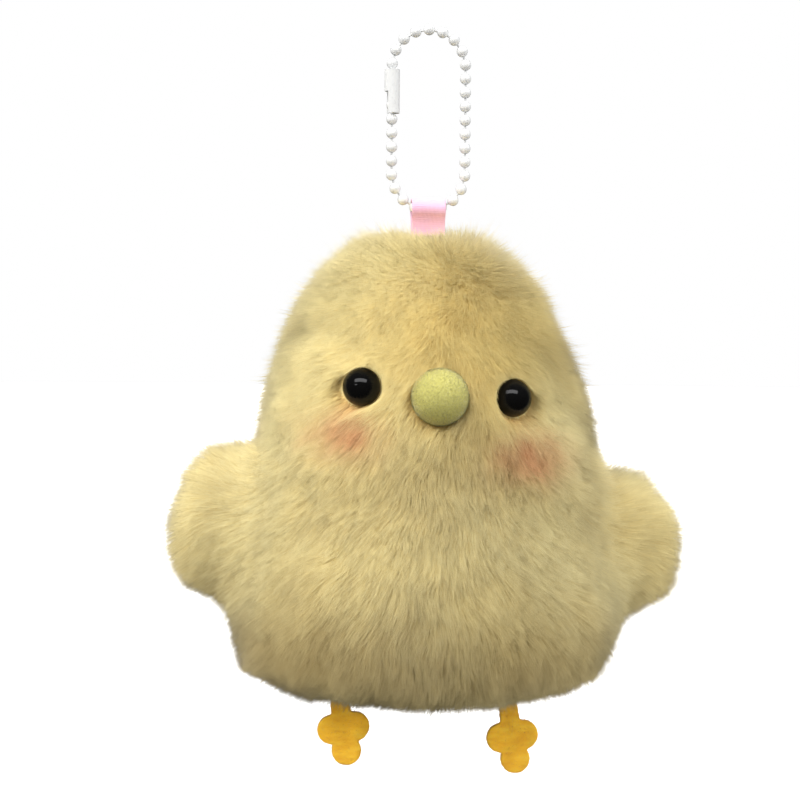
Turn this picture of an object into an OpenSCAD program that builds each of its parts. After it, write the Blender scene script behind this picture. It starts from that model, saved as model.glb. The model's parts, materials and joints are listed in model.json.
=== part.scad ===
// Plush chick keychain hanging from a loop of ball chain.
// +Z is up and the face looks along -Y. The origin is the inside top of the chain loop.
// Left and right are as seen from the front. Lengths are in millimetres.

/* [Body] */
// Height of the stuffed body, from its flat underside to the crown
body_h = 100; // [94:1:108]
// Width of the belly where it is widest
body_w = 84.5; // [80:0.5:90]
// Depth of the body as a share of its width
body_depth = 0.72; // [0.66:0.01:0.8]
// Thickness of the plush fabric with its pile
panel_t = 3.5; // [3:0.1:4]

/* [Face] */
// Distance of each eye from the middle of the face
eye_x = 16.4; // [14:0.1:18]
// Height of the eyes above the underside
eye_z = 66; // [62:0.5:70]
// How far the left eye is sewn above that height, and the right eye below it
eye_rise = 1.1; // [0:0.1:1.5]
// Diameter of an eye
eye_d = 8; // [6:0.5:9]
// Height of the beak above the underside
beak_z = 65; // [60:0.5:68]
// Diameter of the beak
beak_d = 12; // [10:0.5:13]

/* [Wings] */
// Radius of the round outer edge of a wing
wing_r = 16; // [15:0.5:18]
// Thickness of a stuffed wing
wing_t = 14; // [13:0.5:16]
// Height of the middle of a wing above the underside
wing_z = 35; // [33:0.5:36.5]
// How far up its root line the left wing is sewn, and how far down the right wing
wing_rise = 2.6; // [0:0.1:3]
// Thickness of the wing fabric with its pile
wing_panel_t = 2.6; // [2:0.1:3]

/* [Feet] */
// Distance of each foot from the middle of the body
foot_x = 18.4; // [14:0.1:20]
// How much higher than the mean the left foot hangs, and how much lower the right one
foot_rise = 1.2; // [0:0.1:1.5]
// Sideways lean of the toes below the stem
foot_lean = 8; // [0:1:12]
// Thickness of the felt
felt_t = 1.6; // [1.2:0.1:2]
// Width of the stem of a foot
foot_stem_w = 4.5; // [3.5:0.1:5.5]
// Diameter of each of the three toes
toe_d = 6.4; // [5:0.1:7]

/* [Ribbon] */
// Width of the ribbon
ribbon_w = 7.3; // [6:0.1:7.4]
// Thickness of the ribbon
ribbon_t = 0.4; // [0.3:0.05:0.5]

/* [Ball chain] */
// Diameter of a bead
bead_d = 2.4; // [2.4:0.1:2.4]
// Distance between bead centres
pitch = 3; // [2.9:0.05:3.1]
// Number of bead places round the loop, one of which the clasp bridges
bead_places = 32; // [30:1:36]
// Radius of the loop's round ends
loop_r = 8; // [7.8:0.1:9]

/* [Hidden] */
$fn = 48;

// Air left between soft pieces, and between a hard piece and its pocket
soft_gap = 0.7;
pocket_gap = 0.1;
cut = 1;

// Ball chain
bead_r = bead_d / 2;
bead_wall = 0.2;
link_r = 0.22;
link_head_r = 0.44;
link_head_off = 0.5;
link_hole_r = 0.38;
run_swing = 30;
last_bead = bead_places - 1;
loop_side = (bead_places * pitch - 2 * PI * loop_r) / 2;
loop_top = bead_r;
loop_bottom = loop_top - loop_side - 2 * loop_r;
quarter = PI * loop_r / 2;
left_side_start = 3 * quarter + loop_side;
clasp_bead = ceil(left_side_start / pitch);
lower_run = [for (i = [last_bead - 3 : last_bead - 1]) i];
middle_run = [for (i = [last_bead - 6 : last_bead - 4]) i];
upper_run = [for (i = [clasp_bead + 2 : last_bead - 7]) i];
fixed_run = concat([for (i = [0 : clasp_bead]) i], [last_bead]);
fixed_links = concat([for (i = [0 : clasp_bead - 1]) i], [last_bead]);
pivot_beads = [last_bead, last_bead - 3, last_bead - 6];

// Clasp
clasp_inner_r = 1.35;
clasp_outer_r = 1.65;
clasp_cap = 0.35;
clasp_inner_h = 2 * (pitch + bead_r + 0.15);
clasp_h = clasp_inner_h + 2 * clasp_cap;
clasp_slit = 0.8;

// Ribbon, from the round fold over the chain to the line where it enters the crown
fold_r = 1.75;
fold_rise = loop_r * (1 - cos(pitch / loop_r * 180 / PI)) / 2;
fold_z = loop_bottom + fold_rise;
ribbon_drop = 4.3;
ribbon_pair_t = 2 * ribbon_t + 0.05;
neck_z = fold_z - ribbon_drop;
neck_gap = 0.8;
sewn_depth = 5;

// Body outline: control points as shares of its half width and height, crown to underside
outline_steps = 7;
crown_curve = [[0, 1], [0.45, 1], [0.695, 0.86], [0.83, 0.565]];
flank_curve = [[0.83, 0.565], [0.905, 0.401], [1, 0.31], [1, 0.16]];
hip_curve = [[1, 0.16], [1, 0.06], [0.82, 0], [0.5, 0]];
body_z = neck_z - neck_gap - body_h;

// Face: an eye or beak sits in the pile, its shank goes through the fabric to a washer
seat_depth = 1.8;
eye_h = 4;
beak_seat_depth = 2.4;
beak_h = 8;
shank_r = 1.25;
shank_l = 7;
shank_hole_r = 1.5;
rib_r = 1.4;
rib_h = 0.4;
washer_r = 4.5;
washer_t = 1.2;
washer_hole_r = 1.32;
washer_depth = 4.5;
pocket_end = seat_depth + shank_l + 0.6;

// Wings: the root line leans outward towards its lower end
wing_root_x = 41.5;
wing_lean = 8.6;
wing_centre_x = -3.6;
wing_root_gap = 0.7;
wing_spread = 30;
wing_seam_r = 0.35;
wing_seam_l = 26;

// Feet
foot_drop = 1.1;
toe_side_x = 2.5;
toe_side_z = -9.1;
toe_tip_z = -14.1;
lean_from = 2.8;
sewn_gap = 0.2;

// ---- Curves and places ----

function bezier(c, t) =
    pow(1 - t, 3) * c[0] + 3 * t * pow(1 - t, 2) * c[1]
    + 3 * t * t * (1 - t) * c[2] + pow(t, 3) * c[3];

// Outline of the right half of the body, shrunk by inset on every side
function body_outline(inset) =
    let (w = body_w / 2 - inset, h = body_h - 2 * inset)
    concat(
        [for (curve = [crown_curve, flank_curve, hip_curve])
            for (i = [0 : outline_steps - 1])
                let (q = bezier(curve, i / outline_steps)) [w * q[0], inset + h * q[1]]],
        [[w * hip_curve[3][0], inset], [0, inset]]
    );

skin_table = [for (q = body_outline(0)) [q[1], q[0]]];

function eye_height(side) = eye_z - side * eye_rise;
function half_width(z) = lookup(z, skin_table);
function skin_y(x, z) = -body_depth * sqrt(pow(half_width(z), 2) - x * x);
function skin_turn(x, z) = atan2(x, -skin_y(x, z) / pow(body_depth, 2));
function skin_rise(x, z) =
    let (w = half_width(z), fall = (half_width(z - 1) - half_width(z + 1)) / 2)
    atan2(w * fall, norm([x, skin_y(x, z) / pow(body_depth, 2)]));

// Point on the loop at a distance along it from its lowest point, first up the right side
function on_loop(s) =
    s < quarter ? bottom_point(s / loop_r)
    : s < quarter + loop_side ? [loop_r, 0, loop_bottom + loop_r + s - quarter]
    : s < left_side_start ? top_point((s - quarter - loop_side) / loop_r)
    : s < left_side_start + loop_side ? [-loop_r, 0, loop_top - loop_r - s + left_side_start]
    : bottom_point((s - bead_places * pitch) / loop_r);
function bottom_point(a) =
    let (deg = a * 180 / PI) [loop_r * sin(deg), 0, loop_bottom + loop_r * (1 - cos(deg))];
function top_point(a) =
    let (deg = a * 180 / PI) [loop_r * cos(deg), 0, loop_top - loop_r + loop_r * sin(deg)];
function bead_at(i) = on_loop((i % bead_places) * pitch);
function bearing(i, j) =
    let (v = bead_at((j + bead_places) % bead_places) - bead_at(i)) atan2(v[0], v[2]);

module on_skin(x, z) {
    translate([x, skin_y(x, z), z]) rotate([90 - skin_rise(x, z), 0, skin_turn(x, z)]) children();
}

module plush() {
    translate([0, 0, body_z]) children();
}

module mirror_if(flip) {
    if (flip) mirror([1, 0, 0]) children();
    else children();
}

// ---- Ball chain ----

module link_passage(angle) {
    rotate([0, angle, 0]) cylinder(r = link_hole_r, h = 2 * bead_r);
}

// Fan-shaped slot that lets the link of a swinging run turn outward in its bead
module swing_slot(angle) {
    margin = asin(link_hole_r / (bead_r - bead_wall));
    reach = 2 * bead_r;
    fan = [for (a = [angle + margin, angle - run_swing / 2, angle - run_swing - margin])
        reach * [sin(a), cos(a)]];
    rotate([90, 0, 0]) linear_extrude(height = 2 * link_hole_r, center = true)
        polygon(concat([[0, 0]], fan));
}

module bead(i) {
    has_next = i != clasp_bead;
    has_previous = i != clasp_bead + 2;
    translate(bead_at(i)) difference() {
        sphere(r = bead_r);
        sphere(r = bead_r - bead_wall);
        if (has_next) link_passage(bearing(i, i + 1));
        if (has_previous) {
            if (len(search(i, pivot_beads)) > 0) swing_slot(bearing(i, i - 1));
            else link_passage(bearing(i, i - 1));
        }
    }
}

module link(i) {
    length = norm(bead_at(i + 1) - bead_at(i));
    translate(bead_at(i)) rotate([0, bearing(i, i + 1), 0]) {
        translate([0, 0, link_head_off]) cylinder(r = link_r, h = length - 2 * link_head_off);
        for (z = [link_head_off, length - link_head_off])
            translate([0, 0, z]) sphere(r = link_head_r);
    }
}

module beads(run) {
    color("white") for (i = run) bead(i);
}

module links(run) {
    color("gainsboro") for (i = run) link(i);
}

// Folded clasp: its upper bead stays behind a slit, its lower half is open to the outside
module chain_clasp() {
    centre = bead_at(clasp_bead + 1);
    wide = 2 * clasp_outer_r;
    color("whitesmoke") translate(centre) difference() {
        cylinder(r = clasp_outer_r, h = clasp_h, center = true);
        cylinder(r = clasp_inner_r, h = clasp_inner_h, center = true);
        cylinder(r = clasp_slit / 2, h = clasp_h + cut, center = true);
        translate([-wide / 2, 0, 0]) cube([wide, clasp_slit, clasp_h + cut], center = true);
        translate([-wide / 2, 0, -clasp_h / 2])
            cube([wide, 2 * clasp_inner_r, clasp_h], center = true);
    }
}

module chain_beads() {
    beads(fixed_run);
}

module chain_links() {
    links(fixed_links);
}

// ---- Ribbon ----

// Round fold over the chain, with its two layers closing below it and a rolled lower edge
module ribbon_loop() {
    color("pink") rotate([90, 0, 90]) linear_extrude(height = ribbon_w, center = true) difference() {
        union() {
            translate([0, fold_z]) circle(r = fold_r + ribbon_t);
            translate([-ribbon_pair_t / 2, neck_z]) square([ribbon_pair_t, ribbon_drop]);
            translate([0, neck_z]) circle(r = ribbon_pair_t / 2);
        }
        translate([0, fold_z]) circle(r = fold_r);
    }
}

module ribbon_sewn_end() {
    top = body_z + body_h - sewn_gap;
    color("hotpink") translate([-ribbon_w / 2, -ribbon_pair_t / 2, top - sewn_depth])
        cube([ribbon_w, ribbon_pair_t, sewn_depth]);
}

// ---- Stuffed body ----

module body_solid(inset) {
    ratio = (body_depth * body_w / 2 - inset) / (body_w / 2 - inset);
    scale([1, ratio, 1]) rotate_extrude() polygon(body_outline(inset));
}

module seat(x, z, seat_r, depth) {
    on_skin(x, z) translate([0, 0, -depth]) {
        cylinder(r = seat_r + pocket_gap, h = 3 * depth);
        translate([0, 0, -shank_l]) cylinder(r = shank_hole_r, h = shank_l + cut);
    }
}

module face_seats() {
    for (side = [-1, 1]) seat(side * eye_x, eye_height(side), eye_d / 2, seat_depth);
    seat(0, beak_z, beak_d / 2, beak_seat_depth);
}

module sewn_end_slots() {
    gap = 2 * pocket_gap;
    translate([0, 0, body_h])
        cube([ribbon_w + gap, ribbon_pair_t + gap, 2 * (sewn_depth + sewn_gap) + gap], center = true);
    for (side = [-1, 1]) translate([side * foot_x, 0, 0])
        cube([foot_stem_w + gap, felt_t + gap, 2 * (sewn_depth + sewn_gap) + gap], center = true);
}

module half_panel(side) {
    plush() difference() {
        body_solid(0);
        body_solid(panel_t);
        translate([-body_w, side > 0 ? -2 * body_w : 0, -cut])
            cube([2 * body_w, 2 * body_w, body_h + 2 * cut]);
        sewn_end_slots();
        if (side < 0) face_seats();
    }
}

module front_panel() {
    color("khaki") half_panel(-1);
}

module back_panel() {
    color("palegoldenrod") half_panel(1);
}

module body_filling() {
    color("ivory") plush() difference() {
        body_solid(panel_t + soft_gap);
        sewn_end_slots();
        for (side = [-1, 1]) on_skin(side * eye_x, eye_height(side)) translate([0, 0, -pocket_end])
            cylinder(r = washer_r + soft_gap / 2, h = pocket_end);
        on_skin(0, beak_z) translate([0, 0, -pocket_end])
            cylinder(r = washer_r + soft_gap / 2, h = pocket_end);
    }
}

// Lockstitch that joins the two panels, a flat ring just inside the fabric
module seam_thread() {
    thread = 0.5;
    color("goldenrod") plush() difference() {
        rotate([90, 0, 0]) linear_extrude(height = thread, center = true) difference() {
            for (side = [0, 1]) mirror([side, 0]) polygon(body_outline(panel_t + 0.1));
            for (side = [0, 1]) mirror([side, 0]) polygon(body_outline(panel_t + 0.1 + thread));
        }
        sewn_end_slots();
    }
}

// ---- Face ----

module shank() {
    translate([0, 0, -shank_l]) cylinder(r = shank_r, h = shank_l + cut);
    for (i = [0 : 2]) translate([0, 0, -shank_l + 0.4 + 2 * i * rib_h])
        cylinder(r = rib_r, h = rib_h);
}

// Cap of a ball: its flat back at the local origin, standing h high on a base of radius r
module domed_cap(r, h) {
    ball_r = (r * r + h * h) / (2 * h);
    intersection() {
        translate([0, 0, h - ball_r]) sphere(r = ball_r);
        cylinder(r = ball_r + cut, h = h + cut);
    }
}

module eye(side) {
    color("black") plush() on_skin(side * eye_x, eye_height(side)) translate([0, 0, -seat_depth]) {
        domed_cap(eye_d / 2, eye_h);
        shank();
    }
}

module washer(x, z) {
    color("whitesmoke") plush() on_skin(x, z) translate([0, 0, -washer_depth - washer_t])
        difference() {
            cylinder(r = washer_r, h = washer_t);
            translate([0, 0, -cut]) cylinder(r = washer_hole_r, h = washer_t + 2 * cut);
        }
}

// Flocked ball with a flat back
module beak() {
    ball_r = beak_d / 2;
    color("palegreen") plush() on_skin(0, beak_z) translate([0, 0, -beak_seat_depth]) {
        intersection() {
            translate([0, 0, beak_h - ball_r]) sphere(r = ball_r);
            cylinder(r = ball_r + cut, h = beak_h + cut);
        }
        shank();
    }
}

// ---- Wings ----

// Frame on a wing's root line: +X outward, +Z up along the root
module wing_place(side) {
    plush() translate([side * wing_root_x, 0, wing_z])
        rotate([0, -side * wing_lean, 0]) translate([0, 0, -side * wing_rise])
            mirror_if(side < 0) children();
}

// Round wing that thins towards its root, so that it can fold both ways
module wing_solid(inset) {
    r = wing_r - inset;
    start = wing_root_gap + inset * 2;
    half_start = wing_root_gap + (start - wing_root_gap) * tan(wing_spread) - inset / cos(wing_spread);
    half_end = half_start + (2 * wing_r) * tan(wing_spread);
    intersection() {
        translate([wing_centre_x, 0, 0]) scale([1, (wing_t / 2 - inset) / r, 1]) sphere(r = r);
        translate([0, 0, -wing_r]) linear_extrude(height = 2 * wing_r) polygon([
            [start, -half_start], [start + 2 * wing_r, -half_end],
            [start + 2 * wing_r, half_end], [start, half_start]
        ]);
    }
}

module wing_panel(side, face) {
    color(face < 0 ? "khaki" : "palegoldenrod") wing_place(side) difference() {
        wing_solid(0);
        wing_solid(wing_panel_t);
        translate([-wing_r, face > 0 ? -2 * wing_r : 0, -2 * wing_r])
            cube([4 * wing_r, 2 * wing_r, 4 * wing_r]);
    }
}

module wing_filling(side) {
    color("ivory") wing_place(side) wing_solid(wing_panel_t + soft_gap / 2);
}

module wing_seam(side) {
    color("goldenrod") wing_place(side) cylinder(r = wing_seam_r, h = wing_seam_l, center = true);
}

// ---- Feet ----

// Stem that leans below its first few millimetres, with three round toes
module foot_outline(side) {
    rise = -side * foot_rise;
    translate([-foot_stem_w / 2, -lean_from - 1]) square([foot_stem_w, lean_from + 1 - foot_drop]);
    translate([0, -lean_from]) rotate(foot_lean) translate([0, lean_from + rise]) {
        translate([-foot_stem_w / 2, toe_side_z])
            square([foot_stem_w, -lean_from - rise - toe_side_z]);
        for (x = [-toe_side_x, toe_side_x]) translate([x, toe_side_z]) circle(d = toe_d);
        translate([0, toe_tip_z]) circle(d = toe_d);
    }
}

module foot(side) {
    color("orange") plush() translate([side * foot_x, 0, 0]) {
        rotate([90, 0, 0]) linear_extrude(height = felt_t, center = true) foot_outline(side);
        translate([0, 0, -foot_drop]) rotate([0, 90, 0])
            cylinder(d = felt_t, h = foot_stem_w, center = true);
    }
}

module foot_sewn_end(side) {
    color("darkorange") plush() translate([side * foot_x - foot_stem_w / 2, -felt_t / 2, sewn_gap])
        cube([foot_stem_w, felt_t, sewn_depth]);
}

// ---- Nodes ----

chain_beads();
chain_links();
chain_clasp();
beads(lower_run);  // left_lower_beads
links(lower_run);  // left_lower_links
beads(middle_run);  // left_middle_beads
links(middle_run);  // left_middle_links
beads(upper_run);  // left_upper_beads
links(upper_run);  // left_upper_links
ribbon_loop();
ribbon_sewn_end();
front_panel();
back_panel();
body_filling();
seam_thread();
eye(-1);  // left_eye
eye(1);  // right_eye
washer(-eye_x, eye_height(-1));  // left_eye_washer
washer(eye_x, eye_height(1));  // right_eye_washer
beak();
washer(0, beak_z);  // beak_washer
wing_panel(-1, -1);  // left_wing_front
wing_panel(-1, 1);  // left_wing_back
wing_filling(-1);  // left_wing_filling
wing_seam(-1);  // left_wing_seam
wing_panel(1, -1);  // right_wing_front
wing_panel(1, 1);  // right_wing_back
wing_filling(1);  // right_wing_filling
wing_seam(1);  // right_wing_seam
foot(-1);  // left_foot
foot(1);  // right_foot
foot_sewn_end(-1);  // left_foot_sewn_end
foot_sewn_end(1);  // right_foot_sewn_end
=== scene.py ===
"""Looks of a plush chick keychain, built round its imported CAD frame. Lengths are in metres.

Left and right are as seen from the front. The face looks along -Y and +Z is up.
"""

import json
import math

import bpy
import numpy as np
from mathutils import Matrix, Vector
from mathutils.kdtree import KDTree

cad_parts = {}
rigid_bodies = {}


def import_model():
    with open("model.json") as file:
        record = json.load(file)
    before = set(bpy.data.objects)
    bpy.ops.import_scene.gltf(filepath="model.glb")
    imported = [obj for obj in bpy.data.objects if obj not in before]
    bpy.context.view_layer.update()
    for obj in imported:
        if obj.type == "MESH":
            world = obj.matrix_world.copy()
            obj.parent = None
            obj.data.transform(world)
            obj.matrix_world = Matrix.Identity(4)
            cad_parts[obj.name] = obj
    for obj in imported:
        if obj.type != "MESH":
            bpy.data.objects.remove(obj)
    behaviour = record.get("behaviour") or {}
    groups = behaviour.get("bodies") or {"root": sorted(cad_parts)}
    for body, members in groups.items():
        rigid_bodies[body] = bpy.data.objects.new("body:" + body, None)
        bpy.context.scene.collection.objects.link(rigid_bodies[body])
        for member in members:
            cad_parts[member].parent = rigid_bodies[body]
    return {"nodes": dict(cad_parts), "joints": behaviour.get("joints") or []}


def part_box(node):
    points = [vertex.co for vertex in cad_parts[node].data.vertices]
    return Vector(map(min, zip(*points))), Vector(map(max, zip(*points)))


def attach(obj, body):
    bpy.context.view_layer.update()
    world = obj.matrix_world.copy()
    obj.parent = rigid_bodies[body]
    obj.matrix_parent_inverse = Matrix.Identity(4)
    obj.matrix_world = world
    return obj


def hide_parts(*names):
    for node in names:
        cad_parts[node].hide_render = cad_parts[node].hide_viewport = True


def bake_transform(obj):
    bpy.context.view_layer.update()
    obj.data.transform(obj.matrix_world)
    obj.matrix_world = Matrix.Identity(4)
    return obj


MM = 0.001
rng = np.random.default_rng(11)

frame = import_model()
nodes = frame["nodes"]
joints = {j["name"]: j for j in frame["joints"]}
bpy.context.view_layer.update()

# ---- Measures taken from the frame ----

panel_lo, panel_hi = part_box("front_panel")
BASE_Z, CROWN_Z = panel_lo.z, panel_hi.z
BODY_H = CROWN_Z - BASE_Z
HALF_W = panel_hi.x
HALF_D = -panel_lo.y
RIBBON_NECK = Vector(joints["head_swing"]["pos_m"])
RIBBON_FOLD = Vector(joints["ribbon_swing"]["pos_m"])
SIDES = {"left": -1, "right": 1}

# ---- Camera ----

CAMERA_AZIMUTH = math.radians(-6.0)
CAMERA_ELEVATION = math.radians(1.66)
CAMERA_ROLL = math.radians(0.4)
CAMERA_LENS = 85
CAMERA_DISTANCE = 0.410
CAMERA_AIM = Vector((-0.0058, 0, -0.0789))


def make_camera():
    camera = bpy.data.objects.new("camera", bpy.data.cameras.new("camera"))
    bpy.context.scene.collection.objects.link(camera)
    camera.data.lens = CAMERA_LENS
    camera.data.clip_start = 0.01
    back = Vector(
        (
            math.sin(CAMERA_AZIMUTH) * math.cos(CAMERA_ELEVATION),
            -math.cos(CAMERA_AZIMUTH) * math.cos(CAMERA_ELEVATION),
            math.sin(CAMERA_ELEVATION),
        )
    )
    camera.location = CAMERA_AIM + back * CAMERA_DISTANCE
    turn = (-back).to_track_quat("-Z", "Y").to_matrix() @ Matrix.Rotation(CAMERA_ROLL, 3, "Z")
    camera.rotation_euler = turn.to_euler()
    bpy.context.scene.camera = camera


# ---- Mesh and noise helpers ----

WAVES = 7


def smoothstep(x, low, high):
    t = np.clip((x - low) / (high - low), 0, 1)
    return t * t * (3 - 2 * t)


def unit(v):
    return v / np.maximum(np.linalg.norm(v, axis=-1, keepdims=True), 1e-12)


def wobble(p, size, seed):
    """Smooth noise from about -1 to 1 at points p, with features about this size."""
    local = np.random.default_rng(seed)
    total = np.zeros(len(p))
    for _ in range(WAVES):
        direction = unit(local.normal(size=3)) * (2 * math.pi / size) * local.uniform(0.5, 1.3)
        total += np.sin(p @ direction + local.uniform(0, 2 * math.pi))
    return total / math.sqrt(WAVES) * 0.8


def new_mesh(name, verts, faces):
    """A smooth object from an array of points and a list of face arrays, each of one corner count."""
    mesh = bpy.data.meshes.new(name)
    corners = np.concatenate([f.ravel() for f in faces]).astype(np.int32)
    sizes = np.concatenate([np.full(len(f), f.shape[1]) for f in faces]).astype(np.int32)
    mesh.vertices.add(len(verts))
    mesh.vertices.foreach_set("co", np.asarray(verts, np.float32).ravel())
    mesh.loops.add(len(corners))
    mesh.loops.foreach_set("vertex_index", corners)
    mesh.polygons.add(len(sizes))
    starts = np.concatenate([[0], np.cumsum(sizes)[:-1]]).astype(np.int32)
    mesh.polygons.foreach_set("loop_start", starts)
    mesh.polygons.foreach_set("use_smooth", np.full(len(sizes), True))
    mesh.update(calc_edges=True)
    obj = bpy.data.objects.new(name, mesh)
    bpy.context.scene.collection.objects.link(obj)
    return obj


def grid_quads(rows, wide):
    """Quads of an open grid of points."""
    i, j = np.meshgrid(np.arange(rows - 1), np.arange(wide - 1), indexing="ij")
    low, high = i * wide + j, (i + 1) * wide + j
    return np.stack([low, low + 1, high + 1, high], -1).reshape(-1, 4)


def ring_grid(rings, around):
    """Quads between closed rings of points, and a fan closing each end on an extra point."""
    i, j = np.meshgrid(np.arange(rings - 1), np.arange(around), indexing="ij")
    k = (j + 1) % around
    quads = np.stack([i * around + j, i * around + k, (i + 1) * around + k, (i + 1) * around + j], -1)
    a = np.arange(around)
    b = (a + 1) % around
    first, last = rings * around, rings * around + 1
    start = np.stack([np.full(around, first), b, a], -1)
    end = np.stack([np.full(around, last), (rings - 1) * around + a, (rings - 1) * around + b], -1)
    return [quads.reshape(-1, 4), np.concatenate([start, end])]


def at_vertices(mesh, key):
    """Position ("co") or smooth normal ("normal") of each vertex."""
    values = np.zeros(len(mesh.vertices) * 3, np.float32)
    mesh.vertices.foreach_get(key, values)
    return values.reshape(-1, 3).astype(float)


def scatter(obj, count):
    """Random points spread evenly over a mesh, with their smooth normals."""
    mesh = obj.data
    mesh.calc_loop_triangles()
    tris = np.zeros(len(mesh.loop_triangles) * 3, np.int32)
    mesh.loop_triangles.foreach_get("vertices", tris)
    tris = tris.reshape(-1, 3)
    co = at_vertices(mesh, "co")
    a, b, c = (co[tris[:, i]] for i in range(3))
    area = np.linalg.norm(np.cross(b - a, c - a), axis=1)
    share = np.cumsum(area) / area.sum()
    picked = np.searchsorted(share, (np.arange(count) + rng.random(count)) / count)
    picked = np.minimum(picked, len(tris) - 1)
    u, v = rng.random(count), rng.random(count)
    over = u + v > 1
    u[over], v[over] = 1 - u[over], 1 - v[over]
    weights = np.stack([1 - u - v, u, v], -1)[:, :, None]
    normals = at_vertices(mesh, "normal")[tris[picked]]
    return (co[tris[picked]] * weights).sum(1), unit((normals * weights).sum(1))


# ---- Materials ----


def shader(name, color, roughness, **sockets):
    """A material with one Principled shader, and its node tree."""
    material = bpy.data.materials.new(name)
    material.use_nodes = True
    tree = material.node_tree
    principled = tree.nodes["Principled BSDF"]
    principled.inputs["Base Color"].default_value = (*color, 1)
    principled.inputs["Roughness"].default_value = roughness
    for socket, value in sockets.items():
        principled.inputs[socket.replace("_", " ")].default_value = value
    return material, tree, principled


def add(tree, kind, **settings):
    """A node with the given properties, or socket values where the name is a socket's."""
    node = tree.nodes.new(kind)
    for key, value in settings.items():
        if hasattr(node, key):
            setattr(node, key, value)
        else:
            node.inputs[key.replace("_", " ")].default_value = value
    return node


def place(tree, scale=(1, 1, 1)):
    """Coordinates of the object, stretched by scale."""
    coordinates = tree.nodes.new("ShaderNodeTexCoord")
    mapping = tree.nodes.new("ShaderNodeMapping")
    mapping.inputs["Scale"].default_value = scale
    tree.links.new(coordinates.outputs["Object"], mapping.inputs["Vector"])
    return mapping.outputs["Vector"]


def noise(tree, scale, detail, stretch=(1, 1, 1)):
    node = add(tree, "ShaderNodeTexNoise", Scale=scale, Detail=detail)
    tree.links.new(place(tree, stretch), node.inputs["Vector"])
    return node.outputs["Fac"]


def ramp(tree, source, stops):
    """Colours along a value: stops are (position, colour) pairs."""
    node = tree.nodes.new("ShaderNodeValToRGB")
    elements = node.color_ramp.elements
    for i, (position, color) in enumerate(stops):
        element = elements[i] if i < 2 else elements.new(position)
        element.position = position
        element.color = (*color, 1)
    tree.links.new(source, node.inputs["Fac"])
    return node.outputs["Color"]


def bump(tree, principled, height, distance, strength=1.0):
    node = add(tree, "ShaderNodeBump", Strength=strength, Distance=distance)
    tree.links.new(height, node.inputs["Height"])
    tree.links.new(node.outputs["Normal"], principled.inputs["Normal"])


# Sockets of a Mix node for colours, by number because its sockets share their names.
MIX_FACTOR = 0
MIX_A = 6
MIX_B = 7
MIX_RESULT = 2


def blend_colors(tree, factor, a, b, mode="MIX"):
    """Mix of two colours. factor is a number or a socket, and a and b are colours or sockets."""
    node = tree.nodes.new("ShaderNodeMix")
    node.data_type = "RGBA"
    node.blend_type = mode
    for value, index in ((factor, MIX_FACTOR), (a, MIX_A), (b, MIX_B)):
        socket = node.inputs[index]
        if isinstance(value, bpy.types.NodeSocket):
            tree.links.new(value, socket)
        elif isinstance(value, (int, float)):
            socket.default_value = value
        else:
            socket.default_value = (*value, 1)
    return node.outputs[MIX_RESULT]


def attribute(tree, name):
    node = tree.nodes.new("ShaderNodeAttribute")
    node.attribute_name = name
    return node.outputs["Fac"]


# Colours from root to tip of a strand. The darker, warmer root is painted shade deep in the pile.
FUR_ROOT = (0.94, 0.70, 0.27)
FUR_MIDDLE = (0.96, 0.80, 0.37)
FUR_TIP = (0.98, 0.88, 0.48)
# Multiplied in as painted shade right of the middle of the forehead, and as random warm patches
# elsewhere.
WARM = (0.95, 0.86, 0.65)
# The blush is also darker at the root, as painted shade deep in the pile.
BLUSH_ROOT = (0.80, 0.33, 0.13)
BLUSH_TIP = (0.96, 0.57, 0.28)
# The darkest colour of the tone ramp, reached by random tone and by painted shade.
DARKEST_TONE_AND_SHADE = (0.48, 0.44, 0.40)
WHITE = (1.0, 1.0, 1.0)


def fur_material():
    material, tree, principled = shader(
        "plush_fur", FUR_TIP, 0.7, Sheen_Weight=0.25, Sheen_Roughness=0.5, Specular_IOR_Level=0.25
    )
    along = attribute(tree, "along")
    # Darker and warmer towards the root: painted shade deep in the pile.
    plain = ramp(tree, along, [(0.0, FUR_ROOT), (1.0, FUR_TIP), (0.45, FUR_MIDDLE)])
    blushed = ramp(tree, along, [(0.0, BLUSH_ROOT), (1.0, BLUSH_TIP)])
    # The warm attribute carries painted shade right of the middle of the forehead and random warm
    # patches elsewhere.
    warmed = blend_colors(tree, attribute(tree, "warm"), plain, WARM, "MULTIPLY")
    tinted = blend_colors(tree, attribute(tree, "blush"), warmed, blushed)
    # The tone attribute carries random tone and painted shade.
    tone_and_shade = ramp(tree, attribute(tree, "tone_and_shade"), [(0.0, DARKEST_TONE_AND_SHADE), (1.0, WHITE)])
    final = blend_colors(tree, 1.0, tinted, tone_and_shade, "MULTIPLY")
    tree.links.new(final, principled.inputs["Base Color"])
    return material


def skin_material():
    material, tree, principled = shader("plush_backing", FUR_MIDDLE, 0.9, Sheen_Weight=0.2)
    knit = noise(tree, 900, 4)
    color = ramp(tree, knit, [(0.3, FUR_MIDDLE), (0.7, FUR_ROOT)])
    tree.links.new(color, principled.inputs["Base Color"])
    bump(tree, principled, knit, 0.4 * MM)
    return material


def eye_material():
    material, tree, principled = shader(
        "eye_black", (0.003, 0.003, 0.003), 0.1, Specular_IOR_Level=0.35, IOR=1.4
    )
    dust = noise(tree, 1400, 5)
    worn = add(
        tree, "ShaderNodeMapRange", From_Min=0.45, From_Max=0.75, To_Min=0.05, To_Max=0.16
    )
    tree.links.new(dust, worn.inputs["Value"])
    tree.links.new(worn.outputs["Result"], principled.inputs["Roughness"])
    return material


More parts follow.
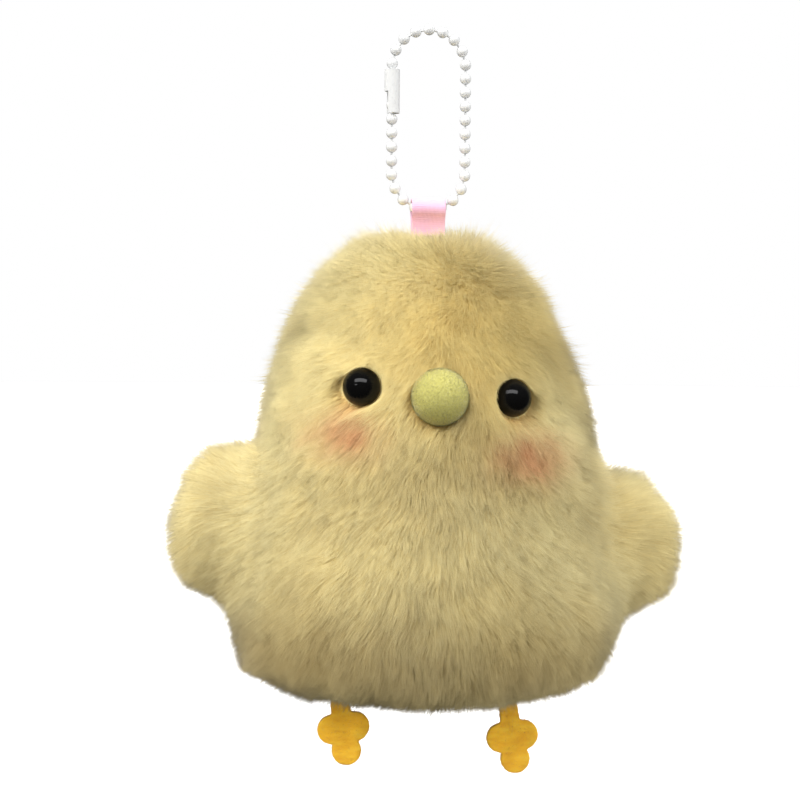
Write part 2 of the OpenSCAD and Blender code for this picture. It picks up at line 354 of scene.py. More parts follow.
def flock_material():
    material, tree, principled = shader(
        "beak_flock", (0.80, 0.78, 0.25), 0.85, Sheen_Weight=0.5, Sheen_Roughness=0.4
    )
    speckle = noise(tree, 2600, 5)
    stops = [(0.25, (0.50, 0.46, 0.12)), (0.8, (0.69, 0.65, 0.24)), (0.55, (0.60, 0.56, 0.16))]
    color = ramp(tree, speckle, stops)
    tree.links.new(color, principled.inputs["Base Color"])
    bump(tree, principled, speckle, 0.12 * MM)
    return material


def felt_material():
    material, tree, principled = shader(
        "felt_orange", (0.85, 0.42, 0.02), 0.85, Sheen_Weight=0.35, Sheen_Roughness=0.5
    )
    fibres = noise(tree, 900, 6, stretch=(0.35, 1, 1))
    patches = noise(tree, 220, 3)
    stops = [(0.3, (0.90, 0.44, 0.015)), (0.8, (1.0, 0.64, 0.05)), (0.55, (0.98, 0.55, 0.025))]
    base = ramp(tree, fibres, stops)
    shade = ramp(tree, patches, [(0.3, (0.86, 0.84, 0.80)), (0.7, WHITE)])
    tree.links.new(blend_colors(tree, 1.0, base, shade, "MULTIPLY"), principled.inputs["Base Color"])
    bump(tree, principled, fibres, 0.25 * MM)
    return material


def ribbon_material():
    material, tree, principled = shader(
        "ribbon_satin", (0.93, 0.55, 0.68), 0.42, Sheen_Weight=0.3, Specular_IOR_Level=0.6
    )
    threads = add(tree, "ShaderNodeTexWave", Scale=1100.0, Distortion=0.6, bands_direction="X")
    tree.links.new(place(tree), threads.inputs["Vector"])
    picks = add(tree, "ShaderNodeTexWave", Scale=700.0, Distortion=0.4, bands_direction="Z")
    tree.links.new(place(tree), picks.inputs["Vector"])
    weave = add(tree, "ShaderNodeMath", operation="ADD")
    tree.links.new(threads.outputs["Fac"], weave.inputs[0])
    tree.links.new(picks.outputs["Fac"], weave.inputs[1])
    cloudy = noise(tree, 160, 2)
    color = ramp(tree, cloudy, [(0.3, (0.93, 0.52, 0.74)), (0.7, (0.97, 0.61, 0.83))])
    fine = ramp(tree, weave.outputs[0], [(0.2, (0.93, 0.92, 0.93)), (1.0, WHITE)])
    tree.links.new(blend_colors(tree, 1.0, color, fine, "MULTIPLY"), principled.inputs["Base Color"])
    bump(tree, principled, weave.outputs[0], 0.03 * MM)
    return material


def enamel_material(name, color):
    """White paint on metal, with faint unevenness and wear."""
    material, tree, principled = shader(name, color, 0.22, Coat_Weight=0.5, Coat_Roughness=0.08)
    wear = noise(tree, 1800, 4)
    dull = tuple(0.86 * c for c in color)
    tree.links.new(ramp(tree, wear, [(0.25, dull), (0.45, color)]), principled.inputs["Base Color"])
    bump(tree, principled, noise(tree, 600, 3), 0.05 * MM, 0.5)
    return material


def thread_material():
    material, tree, principled = shader("thread_yellow", (0.70, 0.50, 0.16), 0.8, Sheen_Weight=0.2)
    twist = add(tree, "ShaderNodeTexWave", Scale=1500.0, bands_direction="DIAGONAL")
    tree.links.new(place(tree), twist.inputs["Vector"])
    color = ramp(tree, twist.outputs["Fac"], [(0.0, (0.52, 0.35, 0.09)), (1.0, (0.76, 0.56, 0.2))])
    tree.links.new(color, principled.inputs["Base Color"])
    bump(tree, principled, twist.outputs["Fac"], 0.08 * MM)
    return material


def filling_material():
    material, tree, principled = shader("filling_fibre", (0.86, 0.86, 0.82), 0.95, Sheen_Weight=0.4)
    fibres = noise(tree, 500, 6, stretch=(1, 0.3, 1))
    color = ramp(tree, fibres, [(0.3, (0.66, 0.66, 0.62)), (0.7, (0.90, 0.90, 0.87))])
    tree.links.new(color, principled.inputs["Base Color"])
    bump(tree, principled, fibres, 0.8 * MM)
    return material


def washer_material():
    material, tree, principled = shader("washer_white", (0.80, 0.80, 0.77), 0.45)
    moulded = noise(tree, 1500, 3)
    color = ramp(tree, moulded, [(0.3, (0.72, 0.72, 0.69)), (0.7, (0.82, 0.82, 0.79))])
    tree.links.new(color, principled.inputs["Base Color"])
    bump(tree, principled, moulded, 0.03 * MM)
    return material


MATERIALS = {
    "fur": fur_material(),
    "skin": skin_material(),
    "eye": eye_material(),
    "flock": flock_material(),
    "felt": felt_material(),
    "ribbon": ribbon_material(),
    "bead": enamel_material("bead_white", (0.86, 0.87, 0.87)),
    "link": enamel_material("link_white", (0.78, 0.79, 0.79)),
    "clasp": enamel_material("clasp_white", (0.84, 0.85, 0.85)),
    "thread": thread_material(),
    "filling": filling_material(),
    "washer": washer_material(),
}

# ---- Stuffed body ----

# The skin lies this far under the CAD surface, and the pile fills the space up to it.
SKIN_INSET = 2.8 * MM
# Curves from the crown down to the underside, as shares of the half width and the height.
OUTLINE_CURVES = (
    ((0, 1), (0.45, 1), (0.695, 0.86), (0.83, 0.565)),
    ((0.83, 0.565), (0.905, 0.401), (1, 0.31), (1, 0.16)),
    ((1, 0.16), (1, 0.06), (0.82, 0), (0.5, 0)),
)
OUTLINE_STEPS = 22
BODY_AROUND = 120


def bezier(curve, t):
    a, b, c, d = (np.array(q, float) for q in curve)
    t = t[:, None]
    return (1 - t) ** 3 * a + 3 * t * (1 - t) ** 2 * b + 3 * t * t * (1 - t) * c + t**3 * d


def body_outline():
    """Half width and height shares of the body, from just off the crown to under its middle."""
    t = np.linspace(0, 1, OUTLINE_STEPS, endpoint=False)
    points = np.concatenate([bezier(c, t) for c in OUTLINE_CURVES] + [[OUTLINE_CURVES[-1][-1]]])
    flat = np.array([[0.36, 0], [0.22, 0], [0.1, 0]])
    return np.concatenate([points[1:], flat])


OUTLINE = body_outline()


def body_point(share_w, share_h, angle):
    """Points of the body's skin. Angle 0 is the right side and -pi/2 the face."""
    w = share_w * (HALF_W - SKIN_INSET)
    d = share_w * (HALF_D - SKIN_INSET)
    z = BASE_Z + SKIN_INSET + share_h * (BODY_H - 2 * SKIN_INSET)
    return np.stack([w * np.cos(angle), d * np.sin(angle), np.full_like(w, z)], -1)


SEAM_DEPTH = 0.7 * MM
SEAM_WIDTH = 3.5 * MM
LUMP = 0.5 * MM
HEAD_LEAN = 1.2 * MM


def stuffed(points, centre):
    """The body with low lumps, a valley along the side seam and its head leaning to the left."""
    out = unit(points - centre)
    valley = np.exp(-((points[:, 1] / SEAM_WIDTH) ** 2)) * SEAM_DEPTH
    lumps = (wobble(points, 45 * MM, 3) + 0.5 * wobble(points, 22 * MM, 4)) * LUMP
    lean = HEAD_LEAN * smoothstep(points[:, 2], BASE_Z + 0.55 * BODY_H, CROWN_Z)
    return points + out * (lumps - valley)[:, None] - np.outer(lean, [1, 0, 0])


def body_shape():
    """Points and faces of the body's skin."""
    angle = np.linspace(0, 2 * math.pi, BODY_AROUND, endpoint=False)
    rings = [body_point(np.full(BODY_AROUND, w), h, angle) for w, h in OUTLINE]
    top = body_point(np.zeros(1), 1, np.zeros(1))
    bottom = body_point(np.zeros(1), 0, np.zeros(1))
    verts = np.concatenate([*rings, top, bottom])
    centre = np.array([0, 0, BASE_Z + 0.45 * BODY_H])
    return stuffed(verts, centre), [f[:, ::-1] for f in ring_grid(len(rings), BODY_AROUND)]


def make_body_skin():
    skin = new_mesh("body_skin", *body_shape())
    skin.data.materials.append(MATERIALS["skin"])
    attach(skin, "plush")
    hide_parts("front_panel", "back_panel")


# ---- Wings ----

WING_HEIGHT = {"left": 14.3 * MM, "right": 13.4 * MM}
WING_FULLNESS = {"left": 2.7, "right": 2.1}
WING_CENTRE = -1.0 * MM
WING_REACH = 10.8 * MM
WING_HALF_T = 5.4 * MM
WING_FLARE = 4.6 * MM
WING_START = -6.8 * MM
WING_RINGS = 34
WING_AROUND = 72
WING_BEND = (-4 * MM, 5 * MM)
ROOT_FLARE = 2.6 * MM
FLARE_FADE = 4.5 * MM
WING_LUMP = 0.45 * MM


def wing_frame(side):
    """Matrix of a wing's root line: outward, through the wing, and up along the root."""
    joint = joints[f"{side}_wing_fold"]
    up = np.array(joint["axis"], float)
    up *= np.sign(up[2])
    out = unit(np.cross([0, 1, 0], up) * SIDES[side])
    return np.stack([out, [0, 1, 0], up], -1), np.array(joint["pos_m"], float)


def in_wing(side, points):
    axes, origin = wing_frame(side)
    return (points - origin) @ axes


def to_wing(side, local):
    axes, origin = wing_frame(side)
    return local @ axes.T + origin


def wing_size(side, u):
    """Half height and half thickness of a wing this far out. It flares into the body at its root."""
    share = np.clip((u - WING_CENTRE) / WING_REACH, 0, 1)
    round_off = np.sqrt(np.maximum(1 - share ** WING_FULLNESS[side], 0))
    flare = np.exp(-(u - WING_START) / FLARE_FADE)
    height = WING_HEIGHT[side] * round_off + ROOT_FLARE * flare
    thick = WING_HALF_T * round_off**0.85 + WING_FLARE * flare
    return height, thick


def wing_shape(side):
    """Points and faces of a wing's skin."""
    turn = np.sin(np.linspace(0, 0.5 * math.pi - 0.03, WING_RINGS))
    u = WING_START + (WING_CENTRE + WING_REACH - WING_START) * turn
    theta = np.linspace(0, 2 * math.pi, WING_AROUND, endpoint=False)
    height, thick = wing_size(side, u)
    rings = [
        np.stack([np.full(WING_AROUND, a), t * np.sin(theta), h * np.cos(theta)], -1)
        for a, t, h in zip(u, thick, height)
    ]
    ends = np.array([[WING_START, 0, 0], [WING_CENTRE + WING_REACH, 0, 0]])
    local = np.concatenate([*rings, ends])
    lumps = wobble(local, 16 * MM, 5 + SIDES[side]) * WING_LUMP
    local += unit(local - [2 * MM, 0, 0]) * lumps[:, None]
    faces = ring_grid(WING_RINGS, WING_AROUND)
    if SIDES[side] > 0:
        faces = [f[:, ::-1] for f in faces]
    return to_wing(side, local), faces


def make_wing_skin(side):
    skin = new_mesh(f"{side}_wing_skin", *wing_shape(side))
    skin.data.materials.append(MATERIALS["skin"])
    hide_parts(f"{side}_wing_front", f"{side}_wing_back")
    join_to_body(skin, side)


def join_to_body(obj, side):
    start, end = (to_wing(side, np.array([u, 0, 0])) for u in WING_BEND)
    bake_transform(obj)


# ---- Fur ----

PILE_VOXEL = 1.3 * MM
PILE_SMOOTHING = 40
LEAST_SMOOTHING = 0.15


def pile_surface():
    """One closed surface over body and wings, with the creases at the wing roots filled."""
    shapes = [body_shape()] + [wing_shape(side) for side in SIDES]
    verts = np.concatenate([v for v, _ in shapes])
    faces, offset = [], 0
    for points, parts in shapes:
        faces += [f + offset for f in parts]
        offset += len(points)
    joined = new_mesh("joined", verts, faces)
    remesh = joined.modifiers.new("remesh", "REMESH")
    remesh.mode = "VOXEL"
    remesh.voxel_size = PILE_VOXEL
    evaluated = joined.evaluated_get(bpy.context.evaluated_depsgraph_get())
    surface = bpy.data.objects.new("pile", bpy.data.meshes.new_from_object(evaluated))
    bpy.data.objects.remove(joined)
    smooth_wing_roots(surface.data)
    return surface


def smooth_wing_roots(mesh):
    """Relax the surface: a little everywhere, and fully in the creases at the wing roots."""
    co = at_vertices(mesh, "co")
    edges = np.zeros(len(mesh.edges) * 2, np.int32)
    mesh.edges.foreach_get("vertices", edges)
    a, b = edges.reshape(-1, 2).T
    links = np.bincount(a, minlength=len(co)) + np.bincount(b, minlength=len(co))
    weight = np.full(len(co), LEAST_SMOOTHING)
    for side in SIDES:
        out, _, up = in_wing(side, co).T
        near = smoothstep(out, -13 * MM, -8 * MM) * (1 - smoothstep(out, 1 * MM, 6 * MM))
        weight = np.maximum(weight, near * (1 - smoothstep(np.abs(up), 22 * MM, 27 * MM)))
    for _ in range(PILE_SMOOTHING):
        total = np.zeros_like(co)
        for axis in range(3):
            ahead = np.bincount(a, co[b, axis], len(co))
            behind = np.bincount(b, co[a, axis], len(co))
            total[:, axis] = ahead + behind
        co += (total / links[:, None] - co) * (0.5 * weight)[:, None]
    mesh.vertices.foreach_set("co", co.astype(np.float32).ravel())
    mesh.polygons.foreach_set("use_smooth", np.full(len(mesh.polygons), True))
    mesh.update()


RIBBON_SLOT = (4.4 * MM, 1.2 * MM)
STRANDS = 600000
STRANDS_PER_PIECE = 34000
STRAND_FACES = ((0, 1, 3), (1, 2, 3), (2, 0, 3), (2, 1, 0))
CELL_FILL = 0.9
FUR_LENGTH = 6.9 * MM
FUR_WIDTH = 0.135 * MM
CROWN_LONGER = 0.08
UNDERSIDE_SHORTER = 0.12
NECK_SHORTER = 0.35
LIFT = 0.64
LIFT_RANGE = (0.35, 0.97)
STRAY_SHARE = 0.05
STRAY_LIFT = 0.2
STRAY_LENGTH = 1.12
CLUMP_SHARE = 0.008
CLUMP_SPACING = 3.2 * MM
PULL = (0.15, 0.6)
FUR_SOFTNESS = 0.96
UNDERSIDE_TILT = 0.4
SHADING_SHARE = 0.25


def clump_shift(root, tips, pull):
    """How far each tip moves towards the tip of a strand picked for its patch, so that tufts form."""
    picks = rng.permutation(len(root))[: max(1, int(len(root) * CLUMP_SHARE))]
    tree = KDTree(len(picks))
    for i, p in enumerate(root[picks]):
        tree.insert(p, i)
    tree.balance()
    nearest = picks[[tree.find(p)[1] for p in root]]
    offset = tips[nearest] - tips
    far = np.linalg.norm(offset, axis=1)
    return offset * (pull * np.exp(-((far / CLUMP_SPACING) ** 2)))[:, None]


def strand_mesh(name, root, tip, width, normal, fields, material):
    """Three-sided spikes from root to tip, closed at the base, with point values.

    They are shaded mostly by the normal of what they stand on, which points less steeply down
    on an underside.
    """
    tangent = unit(tip - root)
    side = unit(np.cross(tangent, normal))
    over = np.cross(tangent, side)
    corners = []
    for turn in np.radians([90, 210, 330]):
        corners.append(side * math.cos(turn) + over * math.sin(turn))
    radial = np.stack([*corners, np.zeros_like(root)], 1)
    ends = np.stack([root, root, root, tip], 1)
    verts = (ends + radial * width[:, None, None] / 2).reshape(-1, 3)
    faces = np.arange(len(root))[:, None, None] * 4 + STRAND_FACES
    obj = new_mesh(name, verts, [faces.reshape(-1, 3)])
    lit = unit(np.where(normal[:, 2:] < 0, normal * [1, 1, UNDERSIDE_TILT], normal))
    soft = unit(lit[:, None] * FUR_SOFTNESS + radial * (1 - FUR_SOFTNESS))
    obj.data.normals_split_custom_set_from_vertices(soft.reshape(-1, 3).tolist())
    obj.data.materials.append(material)
    values = {"along": np.tile([0.0, 0.0, 0.0, 1.0], len(root))}
    values.update({key: np.repeat(value, 4) for key, value in fields.items()})
    for key, value in values.items():
        layer = obj.data.attributes.new(key, "FLOAT", "POINT")
        layer.data.foreach_set("value", value.astype(np.float32))
    lay_out_strands(obj, len(root))
    return obj


def lay_out_strands(obj, count):
    """A texture layout with a small cell for each strand: its sides across, its length up."""
    across = math.ceil(math.sqrt(count))
    cell = np.arange(count)
    origin = np.stack([cell % across, cell // across], -1) / across
    sides = [[[j / 3, 0], [(j + 1) / 3, 0], [(j + 0.5) / 3, 1]] for j in range(3)]
    base = [[0, 0], [0.1, 0], [0, 0.1]]
    coords = origin[:, None] + np.array([*sides, base]).reshape(1, -1, 2) * CELL_FILL / across
    layout = obj.data.uv_layers.new(name="OFBake")
    layout.data.foreach_set("uv", coords.astype(np.float32).ravel())


def grow_fur(name, fur, finish):
    """Fur in pieces of a manageable size, each passed to finish once made.

    Only some pieces cast shadows, because pile this pale lets most of the light through.
    """
    root, tip, normal = fur["root"], fur["tip"], fur["normal"]
    width = FUR_WIDTH * rng.uniform(0.7, 1.3, len(root))
    shading = rng.random(len(root)) < SHADING_SHARE
    order = np.lexsort((np.arctan2(root[:, 0], -root[:, 1]), shading))
    shadowless = int((~shading).sum())
    parts = pieces_of(order[:shadowless]) + pieces_of(order[shadowless:])
    for i, part in enumerate(parts):
        fields = {key: fur[key][part] for key in ("tone_and_shade", "warm", "blush")}
        shape = (root[part], tip[part], width[part], normal[part])
        obj = strand_mesh(f"{name}_{i + 1}", *shape, fields, MATERIALS["fur"])
        obj.visible_shadow = bool(shading[part[0]])
        finish(obj)


def pieces_of(order):
    return np.array_split(order, math.ceil(len(order) / STRANDS_PER_PIECE))


def tangent_to(direction, normal):
    return unit(direction - (direction * normal).sum(1, keepdims=True) * normal)


def turned(direction, normal, angle):
    """Direction turned in the skin's plane."""
    across = np.cross(normal, direction)
    return direction * np.cos(angle)[:, None] + across * np.sin(angle)[:, None]


EYES = {s: sum(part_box(f"{s}_eye"), Vector()) / 2 for s in SIDES}
EYE_RADIUS = 4.0 * MM
BEAK_LO, BEAK_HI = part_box("beak")
BEAK_RADIUS = (BEAK_HI.x - BEAK_LO.x) / 2
BEAK_CENTRE = Vector((0, BEAK_LO.y + BEAK_RADIUS, (BEAK_LO.z + BEAK_HI.z) / 2))
FACE_SPOTS = [(np.array(eye), EYE_RADIUS) for eye in EYES.values()]
FACE_SPOTS.append((np.array(BEAK_CENTRE), 0.9 * BEAK_RADIUS))
PARTING = 0.3
PARTING_REACH = 1.8
BARE_RIM = 1.02
SHORTEST_CUT = 0.05
BLUSH_X = 17.4 * MM
BLUSH_Z = BASE_Z + 56.5 * MM
BLUSH_RISE = 2.0 * MM
BLUSH_SIZE = (6.6 * MM, 4.4 * MM)
# A warm, darker patch of painted shade right of the middle of the forehead.
FOREHEAD_SHADE_X = 8 * MM
FOREHEAD_SHADE_Z = BASE_Z + 78 * MM
FOREHEAD_SHADE_SIZE = (24 * MM, 18 * MM)
# Painted shade on the pile: under the beak and chin, in a band near the underside, and below the
# face.
CHIN_SHADE_X = 3 * MM
CHIN_SHADE_Z = BASE_Z + 53 * MM
CHIN_SHADE_SIZE = (15 * MM, 9 * MM)
LOW_SHADE_Z = BASE_Z + 11 * MM
LOW_SHADE_SIZE = 11 * MM
BELLY_PAINTED_SHADE = 0.3
CHIN_PAINTED_SHADE = 0.35
LOW_PAINTED_SHADE = 0.65


def body_comb(p, n):
    """The way the body's pile lies, and where it stands up because it lies no way at all.

    On the belly it lies down and outwards from near the middle. On the head it lies down and to
    the left, with a parting on the right, and over the crown it falls forward and less evenly.
    """
    h = (p[:, 2] - BASE_Z) / BODY_H
    x = p[:, 0] / HALF_W
    top = smoothstep(h, 0.45, 0.8)
    back = p[:, 1] / HALF_D
    sideways = (1.3 * x - 0.15) * (1 - top) + (1.4 * smoothstep(x, -0.3, 1.0) - 0.8) * top
    forward = 0.4 * back * (1 - top) + (0.1 - 0.5 * smoothstep(n[:, 2], 0.4, 0.95)) * top
    flow = np.stack([sideways, forward, -1 + 0.1 * top], -1)
    across = np.linalg.norm(np.cross(unit(flow), n), axis=1)
    swirl = 0.22 * wobble(p, 26 * MM, 21) + 0.28 * wobble(p, 8 * MM, 22)
    spread = 0.13 + 0.5 * smoothstep(n[:, 2], 0.35, 0.75)
    comb = turned(tangent_to(flow, n), n, swirl + rng.normal(0, 1, len(p)) * spread)
    return comb, 1 - smoothstep(across, 0.1, 0.5)


def parting(p, n, comb):
    """Fur turned a little away from the eyes and beak, and which strands stand clear of them."""
    keep = np.ones(len(p), bool)
    for centre, radius in FACE_SPOTS:
        off = p - centre
        off[:, 1] = np.where(p[:, 1] < 0, 0, 1)
        far = np.linalg.norm(off, axis=1)
        away = tangent_to(off, n)
        towards = np.clip(0.35 - (comb * away).sum(1), 0, 1)
        near = PARTING * towards * (1 - smoothstep(far, radius, PARTING_REACH * radius))
        comb = unit(comb * (1 - near)[:, None] + away * near[:, None])
        keep &= far > BARE_RIM * radius
    return comb, keep


def trimmed(root, tip):
    """Tips cut back to the rim of an eye or the beak where strands would cross it.

    Seen from the front, a strand meets the rim at the smaller root of a t^2 + 2 b t + c = 0.
    """
    for centre, radius in FACE_SPOTS:
        start = (root - centre)[:, ::2]
        step = (tip - root)[:, ::2]
        a = (step**2).sum(1)
        b = (start * step).sum(1)
        c = (start**2).sum(1) - radius**2
        discriminant = b * b - a * c
        crosses = (root[:, 1] < 0) & (c > 0) & (b < 0) & (discriminant > 0)
        share = np.where(crosses, (-b - np.sqrt(np.maximum(discriminant, 0))) / a, 1)
        tip = root + (tip - root) * np.clip(share, SHORTEST_CUT, 1)[:, None]
    return tip


# Depth, size in mm and seed of the light and dark of tufts.
TUFTS = ((0.06, 7, 41), (0.08, 18, 42), (0.07, 2.5, 43))


def blush(p):
    """Orange patches on the cheeks. The right one is stronger and sits lower."""
    front = p[:, 1] < -0.3 * HALF_D
    side = np.sign(p[:, 0])
    across = (np.abs(p[:, 0]) - BLUSH_X) / BLUSH_SIZE[0]
    up = (p[:, 2] - BLUSH_Z + side * BLUSH_RISE) / BLUSH_SIZE[1]
    patch = np.exp(-(across**2 + up**2)) * (0.9 + 0.12 * side + 0.3 * wobble(p, 5 * MM, 31))
    return np.clip(patch * front, 0, 1)


def warmth_and_shade(p):
    """A warm, darker patch right of the middle of the forehead, which is painted shade, and soft warm
    patches all over at random.
    """
    across = (p[:, 0] - FOREHEAD_SHADE_X) / FOREHEAD_SHADE_SIZE[0]
    up = (p[:, 2] - FOREHEAD_SHADE_Z) / FOREHEAD_SHADE_SIZE[1]
    forehead = 0.9 * np.exp(-(across**2) - up**2) * (p[:, 1] < 0)
    return np.clip(forehead + 0.15 + 0.2 * wobble(p, 24 * MM, 45), 0, 1)


def tones_and_painted_shade(p):
    """Light and dark of single strands and of tufts.

    Painted shade makes the pile darker below the face, more so under the chin and in a band near the
    underside that is deeper on the left.
    """
    tufts = sum(depth * wobble(p, size * MM, seed) for depth, size, seed in TUFTS)
    # Painted shade: darker below the face, in a band near the underside that is deeper on the left,
    # and under the chin.
    belly = BELLY_PAINTED_SHADE * (1 - smoothstep(p[:, 2] - BASE_Z, 46 * MM, 66 * MM))
    band = np.exp(-(((p[:, 2] - LOW_SHADE_Z) / LOW_SHADE_SIZE) ** 2))
    low = LOW_PAINTED_SHADE * band * (1 - 0.4 * p[:, 0] / HALF_W)
    across = (p[:, 0] - CHIN_SHADE_X) / CHIN_SHADE_SIZE[0]
    up = (p[:, 2] - CHIN_SHADE_Z) / CHIN_SHADE_SIZE[1]
    chin = CHIN_PAINTED_SHADE * np.exp(-(across**2) - up**2)
    return np.clip(rng.normal(0.95, 0.1, len(p)) + tufts - belly - low - chin, 0, 1)


def wing_comb(side, p, n):
    """On a wing the pile fans out from its root, and a little downwards."""
    local = in_wing(side, p)
    fan = unit(np.stack([local[:, 0] + 14 * MM, 0 * local[:, 0], local[:, 2] - 2 * MM], -1))
    axes, _ = wing_frame(side)
    comb = tangent_to((fan + [0.2, 0, -0.45]) @ axes.T, n)
    return turned(comb, n, 0.3 * wobble(p, 14 * MM, 61) + rng.normal(0, 0.16, len(p)))


def length_and_lift(root, normal, upright):
    """How long each strand is, and how far it stands up: 0 lies flat and 1 stands straight."""
    length = FUR_LENGTH * (1 + 0.1 * wobble(root, 12 * MM, 51)) * rng.uniform(0.75, 1.12, len(root))
    crown = smoothstep(normal[:, 2], 0.5, 0.9)
    underside = smoothstep(-normal[:, 2], 0.35, 0.9)
    length *= 1 + CROWN_LONGER * crown - UNDERSIDE_SHORTER * underside
    from_neck = np.linalg.norm(root - np.array(RIBBON_NECK), axis=1)
    length *= 1 - NECK_SHORTER * (1 - smoothstep(from_neck, 5 * MM, 12 * MM))
    lift = rng.normal(LIFT, 0.1, len(root)) + 0.1 * upright + 0.06 * wobble(root, 6 * MM, 52)
    stray = rng.random(len(root)) < STRAY_SHARE
    lift[stray] += STRAY_LIFT
    length[stray] *= STRAY_LENGTH
    return length, np.clip(lift, *LIFT_RANGE)


def grow_plush():
    """The pile of body and wings. A slot in it is left free for the ribbon."""
    surface = pile_surface()
    root, normal = scatter(surface, STRANDS)
    bpy.data.objects.remove(surface)
    by_ribbon = (np.abs(root[:, :2]) < RIBBON_SLOT).all(1)
    clear = ~(by_ribbon & (root[:, 2] > BASE_Z + BODY_H / 2))
    root, normal = root[clear], normal[clear]
    comb, upright = body_comb(root, normal)
    owner = np.zeros(len(root), int)
    for i, side in enumerate(SIDES):
        out = in_wing(side, root)[:, 0]
        share = smoothstep(out, -10 * MM, 0)[:, None]
        comb = unit(comb * (1 - share) + wing_comb(side, root, normal) * share)
        owner[out > WING_BEND[0]] = i + 1
    length, lift = length_and_lift(root, normal, upright)
    head = smoothstep(root[:, 2], BASE_Z + 50 * MM, BASE_Z + 75 * MM)
    pull = rng.uniform(*PULL, len(root)) * (1 - 0.6 * head)
    comb, keep = parting(root, normal, comb)
    lift = lift[:, None]
    tip = root + (normal * lift + comb * np.sqrt(1 - lift**2)) * length[:, None]
    tip = trimmed(root, tip + clump_shift(root, tip, pull))
    fur = {
        "root": root,
        "tip": tip,
        "normal": normal,
        "tone_and_shade": tones_and_painted_shade(root),
        "warm": warmth_and_shade(root),
        "blush": blush(root),
    }
    pieces = [("body_fur", lambda obj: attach(obj, "plush"))]
    pieces += [(f"{side}_wing_fur", lambda obj, side=side: join_to_body(obj, side)) for side in SIDES]
    for i, (name, finish) in enumerate(pieces):
        chosen = keep & (owner == i)
        grow_fur(name, {key: value[chosen] for key, value in fur.items()}, finish)


# ---- Face ----

BEAK_AROUND = 64
BEAK_RINGS = 32
BEAK_BACK = math.radians(128)
BEAK_FLOCK = 0.015
FLOCK_FIBRES = 16000


def make_beak():
    """Flocked ball with its flat back in the pile."""
    angle = np.linspace(0, 2 * math.pi, BEAK_AROUND, endpoint=False)
    circle = np.stack([np.cos(angle), np.zeros(BEAK_AROUND), np.sin(angle)], -1)
    front = np.array([0, -1, 0])
    tilt = np.linspace(0.03, BEAK_BACK, BEAK_RINGS)
    rows = [np.sin(t) * circle + math.cos(t) * front for t in tilt]
    ends = np.array([front, math.cos(BEAK_BACK) * front])
    local = np.concatenate([*rows, ends])
    grain = 1 + 0.004 * wobble(local, 0.7, 71)
    verts = local * grain[:, None] * BEAK_RADIUS * (1 - BEAK_FLOCK) + np.array(BEAK_CENTRE)
    ball = new_mesh("beak_ball", verts, [f[:, ::-1] for f in ring_grid(BEAK_RINGS, BEAK_AROUND)])
    ball.data.materials.append(MATERIALS["flock"])
    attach(ball, "plush")
    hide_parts("beak")
    flocking = make_fuzz("beak_flocking", ball, FLOCK_FIBRES, 0.3 * MM, 0.05 * MM, "flock")
    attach(flocking, "plush")


# ---- Ribbon ----

RIBBON_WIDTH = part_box("ribbon_loop")[1].x * 2
RIBBON_THICK = 0.32 * MM
RIBBON_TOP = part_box("ribbon_loop")[1].z
RIBBON_WRAP = 125
RIBBON_APART = 0.2 * MM
RIBBON_SEWN = 4.5 * MM
RIBBON_COLUMNS = 25
RIBBON_CURL = 0.10 * MM
HEM_START = 0.86
HEM_EXTRA = 0.25


def ribbon_path():
    """Centre line of the strip in the YZ plane: up the front, round the beads, down the back."""
    radius = RIBBON_TOP - RIBBON_THICK / 2 - RIBBON_FOLD.z
    turn = np.radians(np.linspace(-RIBBON_WRAP, RIBBON_WRAP, 41))
    fold = np.stack([radius * np.sin(turn), RIBBON_FOLD.z + radius * np.cos(turn)], -1)
    share = np.linspace(0, 1, 30)[1:]
    y = RIBBON_APART + (fold[-1, 0] - RIBBON_APART) * (1 - share) ** 5
    z = fold[-1, 1] + (RIBBON_NECK.z - RIBBON_SEWN - fold[-1, 1]) * share
    front = np.stack([-y[::-1], z[::-1]], -1)
    return np.concatenate([front, fold, np.stack([y, z], -1)])


def grid_rim(rows, wide):
    """The points round the edge of an open grid, in order."""
    points = np.arange(rows * wide).reshape(rows, wide)
    first, last = points[0], points[-1, -2::-1]
    return np.concatenate([first, points[1:, -1], last, points[-2:0:-1, 0]])


def make_ribbon():
    """A satin strip with thicker hems, slightly curled."""
    path = ribbon_path()
    step = np.gradient(path, axis=0)
    normal = unit(np.stack([-step[:, 1], step[:, 0]], -1))
    across = np.linspace(-1, 1, RIBBON_COLUMNS)
    x = across * RIBBON_WIDTH / 2
    hem = 1 + HEM_EXTRA * (np.abs(across) > HEM_START)
    verts = []
    for sign in (1, -1):
        for (y, z), (ny, nz) in zip(path, normal):
            curl = RIBBON_CURL * np.sin(across * 2.2 + z * 500)
            rise = sign * RIBBON_THICK / 2 * hem + curl
            verts.append(np.stack([x, y + ny * rise, z + nz * rise], -1))
    side = len(path) * RIBBON_COLUMNS
    sheet = grid_quads(len(path), RIBBON_COLUMNS)
    rim = grid_rim(len(path), RIBBON_COLUMNS)
    after = np.roll(rim, -1)
    edge = np.stack([after, rim, rim + side, after + side], -1)
    strip = new_mesh("ribbon_strip", np.concatenate(verts), [sheet, sheet[:, ::-1] + side, edge])
    strip.data.materials.append(MATERIALS["ribbon"])
    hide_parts("ribbon_loop", "ribbon_sewn_end")
    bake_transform(strip)


# ---- Feet ----

FOOT_THICK = 1.5 * MM
TOE = 3.2 * MM
# Middles of the toes in mm, across and up from the lowest point.
FOOT_TOES = ((-2.5, 8.2), (2.5, 8.2), (0, 3.2))
FOOT_MIDDLE = (0, 8 * MM)
FOOT_DROP = 1.1 * MM
FOOT_BEND = 2.8 * MM
FOOT_LEAN = math.radians(8)
STEM_TOP = 4.4 * MM
FOOT_POINTS = 260
FOOT_RAGGED = 0.05 * MM
